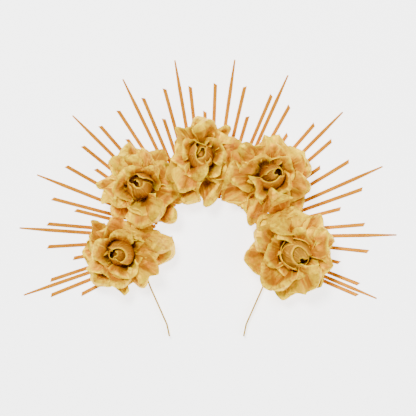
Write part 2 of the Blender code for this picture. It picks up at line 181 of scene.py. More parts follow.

# Values that colour a bud: its depth, which paints shade darker at the roots and on the inner
# layers, its fold, which paints shade at the root and a highlight towards the rim, and the run
# of its veins
BUD_ROOT_DEPTH = 0.25
BUD_DEPTH_RISE = 0.60
BUD_INNER_DARKENING = 0.5
BUD_FOLD = 0.4
BUD_FOLD_RISE = 0.3
BUD_VEIN_SPREAD = 2
BUD_VEIN_STEP = 10
CORE_FOLD = 0.5

# Cloth and plain materials
SPECULAR_LEVEL = 0.10
CLOTH_ROUGHNESS = 0.52
CLOTH_METALLIC = 0.45
VEINS_ACROSS = 9.0
VEINS_ALONG = 2.2
GRAIN_SHARE = 0.4
CLOTH_BUMP = 0.8
CLOTH_BUMP_DEPTH = 0.0014
DRIFT_DISTORTION = 0.3
DRIFT_RANGE = (0.35, 0.65)
PLAIN_GRAIN_FINENESS = 12
PLAIN_GRAIN_DETAIL = 3.0
PLAIN_BUMP_DEPTH = 0.0002

# Noises, each with its scale, detail and distortion
VEIN_NOISE = (1.0, 5.0, 0.5)
BLOTCH_NOISE = (70.0, 3.0, 0.6)
PATCH_NOISE = (45.0, 2.0, 0.9)
FLECK_NOISE = (260.0, 4.0, 0.0)
GRAIN_NOISE = (420.0, 4.0, 0.0)

# Values that follow from the sizes above
SPIKES = SPIKES_IN_A_SET * SPIKE_SETS
SPIKE_PITCH = HEAD_WIDTH + HEAD_SPACING
STRIP_BOTTOM = STRAP_THICKNESS + LOOP_CLEARANCE
LOOP_TOP = STRIP_BOTTOM + STRIP_HEIGHT + LOOP_CLEARANCE + STRAP_THICKNESS
LOOP_INSIDE = STRIP_THICKNESS / 2 + LOOP_CLEARANCE
LOOP_OUTSIDE = LOOP_INSIDE + STRAP_THICKNESS
HEAD_END = LOOP_INSIDE + HEAD_LENGTH
PETAL_FLOOR = LOOP_TOP + SEAT_CLEARANCE + SHEET_THICKNESS / 2
BUD_BOTTOM = BUD_SEAT * ROSE_HEIGHT
BUD_MIDDLE = (BUD_BOTTOM + ROSE_HEIGHT) / 2
BUD_HALF_HEIGHT = (ROSE_HEIGHT - BUD_BOTTOM) / 2

# Each set of four spikes, from the lower left over the top to the lower right. A lean is in
# degrees from square to the strip, and a length is a share of the length of that kind.
SpikeSet = namedtuple("SpikeSet", "short_lean second_lean long_lean fourth_lean "
                                  "short_length second_length long_length fourth_length")
SPIKE_TABLE = (
    SpikeSet(24.9, 23.0, 23.6, 26.4, 0.84, 0.91, 0.93, 0.90),
    SpikeSet(22.0, 18.4, 14.5, 17.0, 0.88, 0.90, 0.94, 0.93),
    SpikeSet(11.4, 14.3, 11.4, 7.4, 0.94, 0.95, 0.93, 0.96),
    SpikeSet(5.9, 6.1, 4.5, 4.4, 0.96, 0.95, 0.97, 0.97),
    SpikeSet(3.1, 4.6, 1.4, 2.5, 0.96, 0.99, 0.98, 0.99),
    SpikeSet(2.0, 3.1, 1.6, 2.4, 0.99, 1.01, 1.00, 0.99),
    SpikeSet(1.2, 1.8, -0.1, -0.9, 1.00, 1.01, 1.00, 1.02),
    SpikeSet(-0.3, -2.7, 0.2, -0.8, 1.01, 1.02, 1.00, 1.00),
    SpikeSet(-2.0, -4.4, -4.1, -4.2, 1.02, 0.99, 1.00, 0.99),
    SpikeSet(-6.0, -5.7, -9.1, -9.5, 1.00, 1.00, 1.00, 0.99),
    SpikeSet(-11.0, -17.4, -17.7, -21.1, 0.98, 0.92, 0.96, 0.93),
    SpikeSet(-25.7, -29.5, -27.3, -24.1, 0.89, 0.88, 0.85, 0.87),
)

# Numbers of the spikes whose cut end slants the other way
SPIKES_CUT_THE_OTHER_WAY = (28, 29)

# Rings of petals. The root's height is a share of the rose's height. Inclines are degrees above
# level at equal steps from root to tip, and spread is half a petal's width in degrees round the
# rose. Notch is how much shorter its sides are, cup lifts them, tilt lays one side over its
# neighbour, wave swings its rim, and the curl is the share of its length that rolls back and by
# how many degrees.
Ring = namedtuple("Ring", "root inclines spread notch cup tilt wave curl_share curl_angle")
RINGS = {
    "outer": Ring(0.26, (14, 18, 14, 4), 37, 0.44, 10, 9, 6, 0.06, 100),
    "middle": Ring(0.33, (44, 42, 24, 4), 39, 0.40, 12, 11, 6, 0.07, 120),
    "inner": Ring(0.40, (8, 48, 74, 48, 14), 56, 0.34, 2, 8, 4, 0.06, 120),
}

# Petals. A turn is in degrees, 0 to the right and 90 to the top, a reach is a share of the rose's
# radius, lift is degrees added to the incline at the tip, curl and width scale the rolled rim and
# the spread, and tint runs from -1 for a warm dark petal to 1 for a pale one.
Petal = namedtuple("Petal", "turn reach lift curl width tint", defaults=(0, 1.0, 1.0, 0.0))

# Roses. Spike is the rose's place along the strip, in spikes from the top, and outward is how far
# outside the strip it sits, as a share of its radius. The bud leans towards its opening by its
# tilt, both in degrees. It has rolled layers, the outermost one ends at a rim so many degrees from
# its pole, girth scales its radius, and shade is its tint.
Rose = namedtuple("Rose", "spike outward opening outer middle inner tilt layers rim girth shade",
                  defaults=(34, 3, 34, 1.0, 0.0))
ROSE_TABLE = (
    Rose(
        spike=-22.0, outward=0.56, opening=190,
        outer=(Petal(0, 1.26, tint=0.5), Petal(64, 1.00, tint=-0.4), Petal(134, 1.02),
               Petal(178, 0.90, tint=0.3), Petal(228, 0.95, tint=0.4),
               Petal(275, 0.98, lift=8, curl=0.0, width=0.48, tint=0.9), Petal(305, 0.97, tint=0.7)),
        middle=(Petal(30, 1.04, tint=0.3), Petal(98, 0.92), Petal(150, 0.84), Petal(204, 0.88),
                Petal(262, 0.80, tint=0.3), Petal(332, 1.00, tint=-0.3)),
        inner=(Petal(24, 0.60), Petal(102, 0.58), Petal(184, 0.66), Petal(290, 0.62)),
    ),
    Rose(
        spike=-10.7, outward=0.80, opening=135,
        outer=(Petal(12, 1.06, tint=-0.5), Petal(58, 1.02, curl=1.8, width=0.75, tint=0.9),
               Petal(105, 1.06, width=0.7, tint=0.9), Petal(140, 0.96, width=0.6, tint=0.9),
               Petal(176, 1.04, width=0.9, tint=0.8), Petal(228, 0.95),
               Petal(316, 1.14, curl=1.6, tint=-0.2), Petal(341, 1.04, width=0.8, tint=-0.4)),
        middle=(Petal(36, 0.90), Petal(88, 0.90, tint=0.3), Petal(136, 0.96, tint=0.7),
                Petal(200, 0.98), Petal(272, 0.96), Petal(345, 0.92)),
        inner=(Petal(42, 0.60), Petal(116, 0.56), Petal(186, 0.66), Petal(276, 0.68)),
    ),
    Rose(
        spike=-0.7, outward=0.90, opening=85,
        outer=(Petal(2, 1.02), Petal(46, 0.96, tint=-0.4), Petal(96, 0.94, width=0.8, tint=0.6),
               Petal(150, 0.72), Petal(212, 1.00, tint=-0.6),
               Petal(248, 1.20, tint=-0.5), Petal(274, 1.18, width=1.15, tint=-0.3)),
        middle=(Petal(-36, 0.90), Petal(22, 0.98), Petal(76, 0.88, tint=0.7),
                Petal(132, 0.90, width=0.8, tint=0.6), Petal(184, 0.72), Petal(236, 0.98)),
        inner=(Petal(-44, 0.60), Petal(36, 0.58), Petal(132, 0.56), Petal(226, 0.60)),
    ),
    Rose(
        spike=9.5, outward=0.97, opening=30,
        outer=(Petal(5, 0.96), Petal(78, 0.98, tint=0.5), Petal(150, 1.10),
               Petal(205, 1.34, width=1.15, tint=-0.8), Petal(248, 1.25, width=1.3, tint=-0.2),
               Petal(312, 1.08, tint=-0.3)),
        middle=(Petal(-22, 0.96), Petal(34, 0.96), Petal(98, 0.96), Petal(132, 1.00),
                Petal(186, 0.98), Petal(282, 1.08)),
        inner=(Petal(-36, 0.56), Petal(42, 0.60), Petal(152, 0.66), Petal(246, 0.62)),
    ),
    Rose(
        spike=22.2, outward=0.63, opening=320,
        outer=(Petal(18, 0.96), Petal(58, 1.10, tint=0.4), Petal(90, 1.12, tint=-0.3),
               Petal(132, 1.23, width=1.25, tint=0.3),
               Petal(186, 1.20, tint=0.3), Petal(252, 1.11, lift=6, tint=0.4), Petal(308, 0.96)),
        middle=(Petal(-16, 0.90), Petal(38, 0.92), Petal(90, 1.05), Petal(150, 1.10),
                Petal(222, 1.06), Petal(282, 0.96)),
        inner=(Petal(-24, 0.58), Petal(76, 0.64), Petal(176, 0.74), Petal(262, 0.62)),
        tilt=46, layers=6, rim=84, girth=1.22, shade=0.4,
    ),
)

# Seams between neighbouring roses: how far along the line between the two each one lies, and its
# turn from square to that line in degrees. The higher-numbered rose lies on top.
Seam = namedtuple("Seam", "share turn")
SEAM_TABLE = (
    Seam(0.49, 0),
    Seam(0.50, 8),
    Seam(0.51, 6),
    Seam(0.50, 0),
)

# Camera: straight above, with a long lens. Its own sizes are given to it in millimetres.
MILLIMETRES = 1000
CAMERA_HEIGHT = 3.0
SENSOR_WIDTH = 0.036
PHOTO_PIXELS = 416
METRES_PER_PIXEL = 0.001044
CAMERA_X = 0.0
CAMERA_Y = -0.0110

# Studio
FLOOR_SIZE = 8.0
FLOOR_GLOW = 3.0
FLOOR_ROUGHNESS = 0.9
FLOOR_COLOUR = (0.9, 0.9, 0.9, 1.0)
GLOW_COLOUR = (1.0, 1.0, 1.0, 1.0)
WORLD_COLOUR = (1.0, 0.98, 0.95, 1.0)
WORLD_STRENGTH = 0.2
KEY_PLACE = (-0.4, 0.6, 1.6)
KEY_SIZE = 0.5
KEY_POWER = 54.0
FILL_PLACE = (1.2, -0.6, 1.3)
FILL_SIZE = 1.0
FILL_POWER = 26.0


def smooth(value):
    """Ease a value from 0 to 1."""
    clipped = np.clip(value, 0.0, 1.0)
    return clipped * clipped * (3.0 - 2.0 * clipped)


def eased(value, band):
    """Ease from 0 to 1 over a band, which says where it starts and how long it takes."""
    start, reach = band
    return smooth((value - start) / reach)


def kept_above(value, limit, softness):
    """Slow values down as they fall towards a limit, so that they never pass it."""
    spare = value - limit - softness
    return np.where(spare >= 0, value, limit + softness * np.exp(np.minimum(spare, 0) / softness))


def strip_point(distance):
    """Give the strip's middle line, and its outward angle, at a distance from the crown's top."""
    side = 1.0 if distance >= 0 else -1.0
    left = abs(distance)
    place = Vector((0.0, 0.0))
    heading = 0.0
    runs = (
        (CROWN_RADIUS * CROWN_ANGLE, CROWN_ANGLE),
        (SIDE_RADIUS * SIDE_ANGLE, SIDE_ANGLE),
        (LEG_LENGTH, 0.0),
        (0.0, -END_TURN),
        (END_LENGTH, 0.0),
    )
    for length, turn in runs:
        step = min(left, length)
        part_turn = turn * step / length if length else turn
        if left <= 0.0:
            break
        if part_turn and step:
            radius = step / part_turn
            place += radius * Vector((math.sin(heading + part_turn) - math.sin(heading),
                                      math.cos(heading + part_turn) - math.cos(heading)))
        else:
            place += step * Vector((math.cos(heading), -math.sin(heading)))
        heading += part_turn
        left -= step
    outward = math.pi / 2 - heading
    if side < 0:
        return Vector((-place.x, place.y)), math.pi - outward
    return place, outward


def spike_kind(position):
    """Give a spike's lean and length, and whether it is one of the long uncut ones."""
    row = SPIKE_TABLE[position // SPIKES_IN_A_SET]
    return (
        (row.short_lean, row.short_length * SHORT_LENGTH, False),
        (row.second_lean, row.second_length * MEDIUM_LENGTH, False),
        (row.long_lean, row.long_length * LONG_LENGTH, True),
        (row.fourth_lean, row.fourth_length * MEDIUM_LENGTH, False),
    )[position % SPIKES_IN_A_SET]


def crown_place():
    """Find the top of the strip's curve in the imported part's frame."""
    low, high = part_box("headband")
    return Vector(((low[0] + high[0]) / 2, high[1] - STRIP_THICKNESS / 2))


def rose_centre(rose):
    """Give the place of a rose's axis."""
    place, outward = strip_point(rose.spike * SPIKE_PITCH)
    reach = rose.outward * ROSE_RADIUS
    return crown_place() + place + reach * Vector((math.cos(outward), math.sin(outward)))


def seam_limits(number):
    """List the seams beside a rose: a point, the way to the neighbour, and if this one is on top."""
    limits = []
    centre = rose_centre(ROSE_TABLE[number])
    for seam_number, other in ((number - 1, number - 1), (number, number + 1)):
        if other < 0 or other >= len(ROSE_TABLE):
            continue
        seam = SEAM_TABLE[seam_number]
        away = rose_centre(ROSE_TABLE[other]) - centre
        share = seam.share if other > number else 1.0 - seam.share
        way = Matrix.Rotation(math.radians(seam.turn), 2) @ away.normalized()
        limits.append((centre + share * away, way, number > other))
    return limits


def laid_over(points, limits):
    """Lift the petals of the rose on top over the slanted seam, and press the other's below it."""
    aside = points[..., 0]
    up = points[..., 1]
    height = points[..., 2]
    for middle, way, on_top in limits:
        distance = (aside - middle.x) * way.x + (up - middle.y) * way.y
        over = np.maximum(distance - SEAM_FREE, 0.0)
        pulled = over - SEAM_SLACK * (1 - np.exp(-over / SEAM_SLACK))
        aside = aside - pulled * way.x
        up = up - pulled * way.y
        distance = distance - pulled
        under = distance if on_top else -distance
        seam = SEAM_HEIGHT + SEAM_SLOPE * under
        seam += (SEAM_STEEP_SLOPE - SEAM_SLOPE) * np.maximum(under - SEAM_STEEP_FROM, 0.0)
        if on_top:
            height = kept_above(height, seam + SEAM_CLEARANCE, SEAM_SOFTNESS)
        else:
            height = -kept_above(-height, -(seam - SEAM_CLEARANCE), SEAM_SOFTNESS)
    height = kept_above(height, PETAL_FLOOR, SEAM_SOFTNESS)
    return np.stack((aside, up, height), axis=-1)


def ripple(points, scale, random):
    """Give smooth noise at points, from a few waves in seeded directions."""
    ways = random.normal(size=(RIPPLE_WAVES, 3))
    ways /= np.linalg.norm(ways, axis=1)[:, None]
    rates = random.uniform(*RIPPLE_RANGE, RIPPLE_WAVES) * math.tau / scale
    phases = random.uniform(0.0, math.tau, RIPPLE_WAVES)
    return np.sin((points @ ways.T) * rates + phases).sum(axis=-1) / math.sqrt(RIPPLE_WAVES)


def facets(aside, ahead, random):
    """Give the height of a sheet that straight creases, mostly lengthwise, break into flat facets."""
    height = np.zeros_like(aside)
    sign = 1.0
    for _ in range(CREASES):
        turn = random.normal(0.0, CREASE_SPREAD)
        way = (math.cos(turn), math.sin(turn))
        distance = aside * way[0] + ahead * way[1]
        place = random.uniform(distance.min(), distance.max())
        bend = np.abs(distance - place)
        slope = random.uniform(CREASE_LEAST, 1.0) * CREASE_SLOPE
        height += sign * slope * (bend - bend.mean())
        sign = -sign
    return height


def grid_normals(points):
    """Give a grid's unit normals."""
    along = np.gradient(points, axis=0)
    across = np.gradient(points, axis=1)
    normals = np.cross(across, along)
    return normals / np.maximum(np.linalg.norm(normals, axis=-1, keepdims=True), 1e-12)


def named_values(along, rim, fold, side, tint=0.0):
    """Pair a sheet's values with the names that its material reads, for its two sides."""
    return {"along": np.tile(along.ravel(), 2), "rim": np.tile(rim.ravel(), 2),
            "fold": np.tile(fold.ravel(), 2), "side": np.tile(side.ravel(), 2),
            "tint": np.full(2 * along.size, tint)}


def petal_sheet(centre, ring, petal, limits, random):
    """Work out a petal's middle sheet: its points and the values that colour them."""
    across, along = np.meshgrid(np.linspace(-1, 1, PETAL_COLUMNS), np.linspace(0, 1, PETAL_ROWS))
    stops = np.linspace(0, 1, len(ring.inclines))
    incline = np.interp(along, stops, ring.inclines) + petal.lift * along
    incline += ring.cup * across ** 2 * smooth(along * CUP_ONSET)
    incline += ring.tilt * across * smooth(along * TILT_ONSET)
    swing = random.uniform(0, math.tau, 3)
    count = random.uniform(*WAVE_RANGE)
    wave = ring.wave * smooth(along * WAVE_ONSET)
    incline += wave * np.sin(math.pi * count * across + swing[0])
    incline += SECOND_WAVE_SHARE * wave * np.sin(math.pi * SECOND_WAVE * across + swing[1])
    roll = ROLL_LEVEL + ROLL_SWING * np.sin(math.pi * ROLL_WAVE * across + swing[2])
    roll = ring.curl_angle * petal.curl * roll
    incline -= roll * smooth((along - 1 + ring.curl_share) / ring.curl_share)
    curve = NOTCH_CURVE * random.uniform(*NOTCH_CURVE_RANGE)
    length = 1 - ring.notch * np.abs(across) ** curve
    length += TIP_SHARE * np.maximum(0.0, 1 - np.abs(across) / TIP_WIDTH)
    outward = np.cumsum(np.cos(np.radians(incline)), axis=0)
    upward = np.cumsum(np.sin(np.radians(incline)), axis=0)
    outward -= outward[0]
    upward -= upward[0]
    middle = PETAL_COLUMNS // 2
    scale = (petal.reach * ROSE_RADIUS - NECK_RADIUS) / outward[:, middle].max()
    radius = NECK_RADIUS + scale * length * outward
    height = ring.root * ROSE_HEIGHT + scale * length * upward
    spread = math.radians(petal.width * ring.spread)
    spread = spread * (ROOT_SPREAD + (1 - ROOT_SPREAD) * smooth(along * SPREAD_ONSET))
    angle = math.radians(petal.turn) + spread * across
    points = np.stack((centre.x + radius * np.cos(angle), centre.y + radius * np.sin(angle),
                       height), axis=-1)
    normals = grid_normals(points)
    loose = smooth(along * FOLD_ONSET)
    wide = math.radians(ring.spread) * petal.reach * ROSE_RADIUS
    crease = petal.width * facets(wide * across, petal.reach * ROSE_RADIUS * along, random)
    crumple = sum(depth * ripple(points, size, random) for depth, size in PETAL_CRUMPLES)
    fold = (crease + crumple) * loose
    points = points + fold[..., None] * normals
    aside, up = points[..., 0] - centre.x, points[..., 1] - centre.y
    radius = np.hypot(aside, up)
    spare = (petal.reach * ROSE_RADIUS - NECK_RADIUS) / (radius.max() - NECK_RADIUS)
    drawn = NECK_RADIUS + spare * np.maximum(radius - NECK_RADIUS, 0.0)
    drawn = drawn / np.maximum(radius, NECK_RADIUS)
    points[..., 0] = centre.x + drawn * aside
    points[..., 1] = centre.y + drawn * up
    points = laid_over(points, limits)
    # Rim and fold values paint highlights on the rims and crests, and shade in the valleys
    rim = np.maximum(eased(along, TIP_RIM), eased(np.abs(across), SIDE_RIM) * loose)
    return points, named_values(along, rim, 0.5 + 0.5 * np.tanh(fold / FOLD_SCALE),
                                across + petal.turn, petal.tint)


def thick_sheet(points, thickness):
    """Give a grid a thickness: its vertices, lower side first, and its faces."""
    rows, columns = points.shape[:2]
    normals = grid_normals(points)
    offset = thickness / 2 * normals
    vertices = np.concatenate(((points - offset).reshape(-1, 3), (points + offset).reshape(-1, 3)))
    index = np.arange(rows * columns).reshape(rows, columns)
    a, b, c, d = index[:-1, :-1], index[:-1, 1:], index[1:, 1:], index[1:, :-1]
    top = rows * columns
    lower = np.stack((a, d, c, b), axis=-1).reshape(-1, 4)
    upper = np.stack((a, b, c, d), axis=-1).reshape(-1, 4) + top
    border = np.concatenate((index[0, :-1], index[:-1, -1], index[-1, :0:-1], index[:0:-1, 0]))
    after = np.roll(border, -1)
    sides = np.stack((border, after, after + top, border + top), axis=-1)
    return vertices, np.concatenate((lower, upper, sides)).tolist()


def joined_mesh(name, sheets):
    """Join sheets, each with its vertices, faces and named values, into one smooth mesh."""
    vertices = np.concatenate([sheet[0] for sheet in sheets])
    faces = []
    start = 0
    for sheet in sheets:
        faces += [[vertex + start for vertex in face] for face in sheet[1]]
        start += len(sheet[0])
    mesh = bpy.data.meshes.new(name)
    mesh.from_pydata(vertices.tolist(), [], faces)
    for key in sheets[0][2]:
        values = np.concatenate([sheet[2][key] for sheet in sheets])
        layer = mesh.attributes.new(key, "FLOAT", "POINT")
        layer.data.foreach_set("value", values.astype(np.float32))
    mesh.shade_smooth()
    mesh.validate()
    return mesh


def add_piece(name, mesh, material, slot_name, *nodes):
    """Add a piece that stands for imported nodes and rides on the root."""
    piece = bpy.data.objects.new(name, mesh)
    mesh.materials.append(material)
    bpy.context.scene.collection.objects.link(piece)
    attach(piece, "root")
    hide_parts(*nodes)
    return piece


def build_petals(number, material):
    """Build a rose's fine petals on its base."""
    rose = ROSE_TABLE[number]
    centre = rose_centre(rose)
    limits = seam_limits(number)
    random = np.random.default_rng(100 + number)
    sheets = []
    for ring_name, petals in (("outer", rose.outer), ("middle", rose.middle), ("inner", rose.inner)):
        for petal in petals:
            points, values = petal_sheet(centre, RINGS[ring_name], petal, limits, random)
            vertices, faces = thick_sheet(points, SHEET_THICKNESS)
            sheets.append((vertices, faces, values))
    sheets.append(base_cone(centre))
    name = f"rose_{number + 1}_petals"
    mesh = joined_mesh(name + "_fine", sheets)
    mesh.set_sharp_from_angle(angle=CREASE_ANGLE)
    return add_piece(name + "_fine", mesh, material, "petals", name)


def base_cone(centre):
    """Build the rose's base as a closed turned form."""
    profile = (
        (BASE_RADIUS, STRAP_THICKNESS + SEAT_CLEARANCE),
        (NECK_RADIUS, RINGS["outer"].root * ROSE_HEIGHT),
        (NECK_RADIUS, RINGS["inner"].root * ROSE_HEIGHT),
        (SEAT_RADIUS, BUD_BOTTOM - SEAT_CLEARANCE),
    )
    turns = np.linspace(0, math.tau, BASE_SIDES, endpoint=False)
    rows = [np.stack((centre.x + radius * np.cos(turns), centre.y + radius * np.sin(turns),
                      np.full(BASE_SIDES, height)), axis=-1) for radius, height in profile]
    vertices, faces = swept(rows)
    # Its zero values give it the darkest root colour and the crease shade, painted shade under the
    # petals
    flat = np.zeros(len(vertices) // 2)
    return vertices, faces, named_values(flat, flat, flat, flat)


def swept(rings, closed=False):
    """Skin a row of equal rings of points, and cap its ends unless it closes on itself."""
    count = len(rings[0])
    faces = []
    for row in range(len(rings) if closed else len(rings) - 1):
        low = row * count
        high = (row + 1) % len(rings) * count
        for column in range(count):
            after = (column + 1) % count
            faces.append([low + column, low + after, high + after, high + column])
    if not closed:
        last = (len(rings) - 1) * count
        faces.append(list(range(count))[::-1])
        faces.append(list(range(last, last + count)))
    return np.concatenate(rings), faces


def tail_sheet(position):
    """Build a spike's ribbed tail along its own lean, from the head."""
    lean, length, uncut = spike_kind(position)
    half = SHOWN_WIDTH / 2
    ribs = int(length / RIB_PITCH)
    starts = np.arange(ribs) * RIB_PITCH
    stations = np.sort(np.concatenate((starts, starts + RIB_RISE * RIB_PITCH, [length])))
    shares = np.array(TAIL_CORNERS)
    rim = STRAP_THICKNESS - EDGE_DROP
    cut = STRAP_WIDTH / math.tan(CUT_ANGLE)
    rings = []
    for number, station in enumerate(stations):
        raised = number % 2 and station < length
        rib = STRAP_THICKNESS if raised else STRAP_THICKNESS - RIB_DEPTH
        heights = np.array((0.0, rim, STRAP_THICKNESS, STRAP_THICKNESS, rib, rib,
                            STRAP_THICKNESS, STRAP_THICKNESS, rim, 0.0))
        width = half
        along = np.full(len(shares), station)
        if uncut:
            taper = max(0.0, station - length + POINT_LENGTH) / POINT_LENGTH
            width = half + (POINT_WIDTH / 2 - half) * taper
        else:
            near_end = max(0.0, station - length + CUT_REACH) / CUT_REACH
            other_way = position + 1 in SPIKES_CUT_THE_OTHER_WAY
            short = (1 + shares) / 2 if other_way else (1 - shares) / 2
            along = along - cut * short * near_end
        rings.append(np.stack((along, shares * width, heights), axis=-1)[::-1])
    vertices, faces = swept(rings)
    turn = np.array(Matrix.Rotation(math.radians(lean), 3, "Z"))
    return vertices @ turn.T + np.array((HEAD_END, 0.0, 0.0)), faces


def block(low, high, cut):
    """Build a box with its edges along X cut off, from its two corners."""
    sections = []
    for along, inset in ((low[0], cut), (low[0] + cut, 0.0), (high[0] - cut, 0.0), (high[0], cut)):
        left, right = low[1] + inset, high[1] - inset
        bottom, top = low[2], high[2] - inset
        ring = ((left, bottom), (right, bottom), (right, top - cut), (right - cut, top),
                (left + cut, top), (left, top - cut))
        sections.append(np.array([(along, y, z) for y, z in ring]))
    return swept(sections)


def loop_sheet():
    """Build the strap's loop round the strip, with rounded corners."""
    half = STRAP_WIDTH / 2
    low, high = STRAP_THICKNESS, LOOP_TOP - STRAP_THICKNESS
    rings = []
    for x, z, start in ((LOOP_INSIDE, high, 0), (-LOOP_INSIDE, high, 90),
                        (-LOOP_INSIDE, low, 180), (LOOP_INSIDE, low, 270)):
        for turn in (start, start + 30, start + 60, start + 90):
            way_x, way_z = math.cos(math.radians(turn)), math.sin(math.radians(turn))
            inner_x, inner_z = x + LOOP_BEND * way_x, z + LOOP_BEND * way_z
            outer_x, outer_z = x + STRAP_THICKNESS * way_x, z + STRAP_THICKNESS * way_z
            rings.append(np.array([(inner_x, -half, inner_z), (inner_x, half, inner_z),
                                   (outer_x, half, outer_z), (outer_x, -half, outer_z)]))
    return swept(rings, closed=True)


def build_spike(position, material):
    """Build one strap: its loop, its head and its ribbed tail, turned to its place."""
    side = HEAD_WIDTH / 2
    parts = [
        tail_sheet(position),
        block((LOOP_OUTSIDE, -side, 0.0), (HEAD_END, side, HEAD_HEIGHT), CORNER_CUT),
        loop_sheet(),
    ]
    place, outward = strip_point((position - SPIKES / 2) * SPIKE_PITCH)
    place = crown_place() + place
    turn = np.array(Matrix.Rotation(outward, 3, "Z"))
    sheets = [(vertices @ turn.T + np.array((place.x, place.y, 0.0)), faces, {})
              for vertices, faces in parts]
    name = f"spike_{position + 1:02d}"
    mesh = joined_mesh(name + "_ribbed", sheets)
    mesh.set_sharp_from_angle(angle=SHARP_ANGLE)
    return add_piece(name + "_ribbed", mesh, material, "spikes", name)


def build_band(material):
    """Build the metal strip with rounded edges, along its whole curve."""
    half = SHOWN_THICKNESS / 2
    inset = half - STRIP_ROUNDING
    top = STRIP_BOTTOM + STRIP_HEIGHT
    outline = ((-half, STRIP_BOTTOM + STRIP_ROUNDING), (-inset, STRIP_BOTTOM),
               (inset, STRIP_BOTTOM), (half, STRIP_BOTTOM + STRIP_ROUNDING),
               (half, top - STRIP_ROUNDING), (inset, top), (-inset, top), (-half, top - STRIP_ROUNDING))
    reach = CROWN_RADIUS * CROWN_ANGLE + SIDE_RADIUS * SIDE_ANGLE + LEG_LENGTH + END_LENGTH
    crown = crown_place()
    rings = []
    for distance in np.linspace(-reach, reach, STRIP_STEPS).tolist():
        place, outward = strip_point(distance)
        place = crown + place
        away_x, away_y = math.cos(outward), math.sin(outward)
        rings.append(np.array([(place.x + offset * away_x, place.y + offset * away_y, height)
                               for offset, height in outline]))
    vertices, faces = swept(rings)
    mesh = joined_mesh("headband_rounded", [(vertices, faces, {})])
    mesh.set_sharp_from_angle(angle=SHARP_ANGLE)
    return add_piece("headband_rounded", mesh, material, "band", "headband")


def bud_point(turn, polar, shell, pole, centre, girth):
    """Give points on a shell of the bud, at a turn and an angle from its tilted pole."""
    unit = np.stack((np.sin(polar) * np.cos(turn), np.sin(polar) * np.sin(turn), np.cos(polar)),
                    axis=-1)
    turned = unit @ np.array(pole.transposed())
    size = np.array((girth * BUD_RADIUS, girth * BUD_RADIUS, BUD_HALF_HEIGHT))
    return np.array((centre.x, centre.y, BUD_MIDDLE)) + turned * size * shell[..., None]


def build_bud(number, material):
    """Roll a long petal into a bud, about a pole that leans to the bud's opening."""
    rose = ROSE_TABLE[number]
    centre = rose_centre(rose)
    opening = math.radians(rose.opening)
    hinge = Vector((-math.sin(opening), math.cos(opening), 0.0))
    pole = Matrix.Rotation(math.radians(rose.tilt), 3, hinge) @ Matrix.Rotation(opening, 3, "Z")
    random = np.random.default_rng(200 + number)
    start = random.uniform(0, math.tau)
    crumple_height, crumple_size = BUD_CRUMPLE
    across, along = np.meshgrid(np.linspace(-1, 1, BUD_COLUMNS), np.linspace(0, 1, BUD_ROWS))
    sheets = []
    for layer in range(rose.layers):
        share = layer / (rose.layers - 1)
        half = math.radians(BUD_WRAP - BUD_WRAP_LOSS * share)
        turn = start + layer * math.radians(BUD_LAYER_TURN) + half * across
        rim = math.radians(rose.rim + (BUD_INNER_RIM - rose.rim) * share ** BUD_RIM_CURVE)
        rim = rim * (1 + BUD_RIM_DROP * across ** 2 + BUD_RIM_SKEW * across)
        rim = rim * (1 + BUD_SLIT * np.cos(2 * turn))
        low = np.minimum(rim + math.radians(BUD_LAYER_DEPTH), math.radians(BUD_LOWEST))
        polar = low + (rim - low) * along
        shell = 1.0 - BUD_TIGHTENING * share - BUD_OVERLAP * across
        shell = shell + BUD_FLARE * eased(along, BUD_FLARE_BAND) - BUD_LIP * eased(along, BUD_LIP_BAND)
        points = bud_point(turn, polar, shell, pole, centre, rose.girth)
        crumple = crumple_height * ripple(points, crumple_size, random)
        points = points + crumple[..., None] * grid_normals(points)
        vertices, faces = thick_sheet(points, SHEET_THICKNESS)
        # Painted highlight along the rims of each layer
        near = np.maximum(eased(along, BUD_TIP_RIM), eased(np.abs(across), BUD_SIDE_RIM))
        # Painted shade, darker towards the roots and on the inner layers
        depth = (BUD_ROOT_DEPTH + BUD_DEPTH_RISE * along) * (1 - BUD_INNER_DARKENING * share)
        fold = BUD_FOLD + BUD_FOLD_RISE * along
        side = BUD_VEIN_SPREAD * across + BUD_VEIN_STEP * layer
        sheets.append((vertices, faces, named_values(depth, near, fold, side, rose.shade)))
    sheets.append(bud_core(centre, pole, rose.girth))
    name = f"rose_{number + 1}_bud"
    mesh = joined_mesh(name + "_fine", sheets)
    return add_piece(name + "_fine", mesh, material, "buds", name)


def bud_core(centre, pole, girth):
    """Build the ball inside a bud, as a closed grid, painted near black as painted shade."""
    polars = np.radians(np.linspace(BUD_CORE_LOWEST, BUD_CORE_HIGHEST, BUD_ROWS))
    turns, polars = np.meshgrid(np.linspace(0, math.tau, BASE_SIDES, endpoint=False), polars)
    points = bud_point(turns, polars, np.full(turns.shape, BUD_CORE), pole, centre, girth)
    vertices, faces = swept(points)
    # Its values give it the darkest colour of the ramp, painted shade in the bud's opening
    flat = np.zeros(len(vertices) // 2)
    return vertices, faces, named_values(flat, flat, flat + CORE_FOLD, flat)


def shader_of(material):
    """Give a material's main shader."""
    return material.node_tree.nodes["Principled BSDF"]


def new_material(name, roughness, metallic):
    """Make a material with its plain numbers on the shader's own sockets."""
    material = bpy.data.materials.new(name)
    material.use_nodes = True
    shader = shader_of(material)
    shader.inputs["Roughness"].default_value = roughness
    shader.inputs["Metallic"].default_value = metallic
    return material


def add_node(material, kind, **values):
    """Add a shader node and set its properties."""
    node = material.node_tree.nodes.new(kind)
    for key, value in values.items():
        setattr(node, key, value)
    return node


def join(material, source, target):
    """Link an output socket to an input socket."""
    material.node_tree.links.new(source, target)


def noise(material, coordinates, scale, detail, distortion=0.0):
    """Add a noise texture and give its factor."""
    node = add_node(material, "ShaderNodeTexNoise")
    node.inputs["Scale"].default_value = scale
    node.inputs["Detail"].default_value = detail
    node.inputs["Distortion"].default_value = distortion
    join(material, coordinates, node.inputs["Vector"])
    return node.outputs["Fac"]


